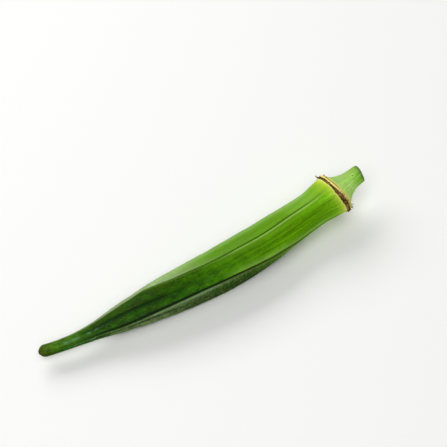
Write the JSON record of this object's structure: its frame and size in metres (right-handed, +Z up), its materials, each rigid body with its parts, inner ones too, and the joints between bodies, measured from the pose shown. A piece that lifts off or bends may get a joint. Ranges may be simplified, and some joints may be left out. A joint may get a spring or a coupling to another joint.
{
  "type": "okra pod",
  "caption": "Fresh green okra pod as picked: a long ridged capsule tapering to a blunt tip, with a dry calyx ring, a flared cap and a short cut stalk, lying on its side",
  "frame": {"origin": "The bottom centre of the pod's box, on the surface that it lies on", "axes": "+X runs along the pod from the blossom tip to the cut stalk, -Y is the side that the pod bows towards, +Z is up"},
  "size_m": [0.1534, 0.022, 0.0232],
  "materials": {
    "okra_skin": "satin"
  },
  "bodies": {
    "root": {"okra_pod": "okra_skin"}
  },
  "joints": []
}
